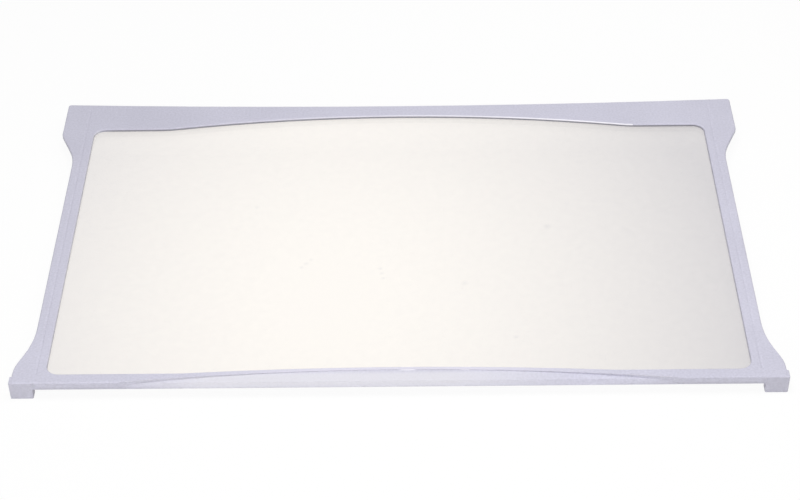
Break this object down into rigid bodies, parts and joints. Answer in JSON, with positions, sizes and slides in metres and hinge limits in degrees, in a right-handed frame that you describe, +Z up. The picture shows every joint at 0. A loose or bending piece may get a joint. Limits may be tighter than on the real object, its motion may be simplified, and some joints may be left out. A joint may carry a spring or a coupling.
{
  "type": "refrigerator glass shelf",
  "caption": "Flat glass refrigerator shelf in a moulded plastic frame with rear ears, flared front corners and front feet, which rests on side ledges and carries food.",
  "frame": {"origin": "centre of the shelf's width and depth, at the soles of the front feet", "axes": "+Z up, +X to the right seen from the front, +Y to the back"},
  "size_m": [0.4822, 0.3045, 0.0128],
  "materials": {
    "frame_plastic": "satin moulded, pale lavender white",
    "shelf_glass": "clear toughened float glass, lightly dusty"
  },
  "bodies": {
    "root": {"frame": "frame_plastic", "glass_pane": "shelf_glass"}
  },
  "joints": []
}
